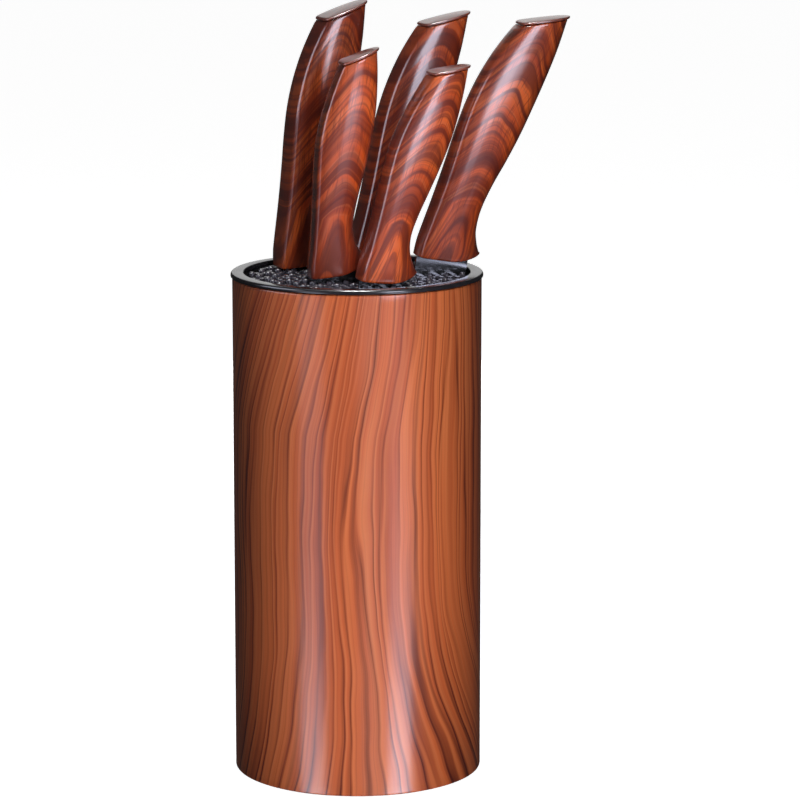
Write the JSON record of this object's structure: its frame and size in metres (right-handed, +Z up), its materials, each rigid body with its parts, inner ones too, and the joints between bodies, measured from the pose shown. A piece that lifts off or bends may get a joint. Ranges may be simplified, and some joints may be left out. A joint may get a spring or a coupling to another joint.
{
  "type": "knife block",
  "caption": "Round knife block: printed sleeve, black collar and a lift-out bristle insert that holds kitchen knives with curved handles.",
  "frame": {"origin": "centre of the anti-slip pad's underside, on the block's axis", "axes": "+Z up along the block's axis; the front, with the two short handles, faces -Y; the handles lean towards +X"},
  "size_m": [0.1495, 0.1114, 0.3416],
  "materials": {
    "printed_sleeve": "wood-grain print under clear gloss",
    "black_cup": "semi-gloss",
    "base_plastic": "matt",
    "pad_rubber": "matt",
    "bristle_plastic": "satin rods with round tips",
    "blade_steel": "satin",
    "handle_print": "wood-grain print under clear gloss",
    "cap_print": "wood-grain print under clear gloss"
  },
  "bodies": {
    "block": {"outer_sleeve": "printed_sleeve", "base_disc": "base_plastic", "anti_slip_pad": "pad_rubber", "inner_cup": "black_cup", "rim_collar": "black_cup"},
    "bristle_insert": {"bristle_plate": "bristle_plastic", "bristle_bank_1": "bristle_plastic", "bristle_bank_2": "bristle_plastic", "bristle_bank_3": "bristle_plastic", "bristle_bank_4": "bristle_plastic", "bristle_bank_5": "bristle_plastic", "bristle_bank_6": "bristle_plastic"},
    "bread_knife": {"bread_knife_blade": "blade_steel", "bread_knife_handle": "handle_print", "bread_knife_end_cap": "cap_print"},
    "chef_knife": {"chef_knife_blade": "blade_steel", "chef_knife_handle": "handle_print", "chef_knife_end_cap": "cap_print"},
    "slicing_knife": {"slicing_knife_blade": "blade_steel", "slicing_knife_handle": "handle_print", "slicing_knife_end_cap": "cap_print"},
    "utility_knife": {"utility_knife_blade": "blade_steel", "utility_knife_handle": "handle_print", "utility_knife_end_cap": "cap_print"},
    "paring_knife": {"paring_knife_blade": "blade_steel", "paring_knife_handle": "handle_print", "paring_knife_end_cap": "cap_print"}
  },
  "joints": [
    {"name": "insert_lift", "type": "slide", "parent": "block", "child": "bristle_insert", "axis": [0, 0, 1], "range_m": [0, 0.22]},
    {"name": "bread_knife_draw", "type": "slide", "parent": "bristle_insert", "child": "bread_knife", "axis": [-0.0798, -0.0305, 0.9963], "range_m": [0, 0.21]},
    {"name": "chef_knife_draw", "type": "slide", "parent": "bristle_insert", "child": "chef_knife", "axis": [0.0332, 0.0109, 0.9994], "range_m": [0, 0.21]},
    {"name": "slicing_knife_draw", "type": "slide", "parent": "bristle_insert", "child": "slicing_knife", "axis": [0.1534, 0.0385, 0.9874], "range_m": [0, 0.21]},
    {"name": "utility_knife_draw", "type": "slide", "parent": "bristle_insert", "child": "utility_knife", "axis": [-0.1029, -0.0183, 0.9945], "range_m": [0, 0.13]},
    {"name": "paring_knife_draw", "type": "slide", "parent": "bristle_insert", "child": "paring_knife", "axis": [0.0922, 0.0261, 0.9954], "range_m": [0, 0.095]}
  ]
}
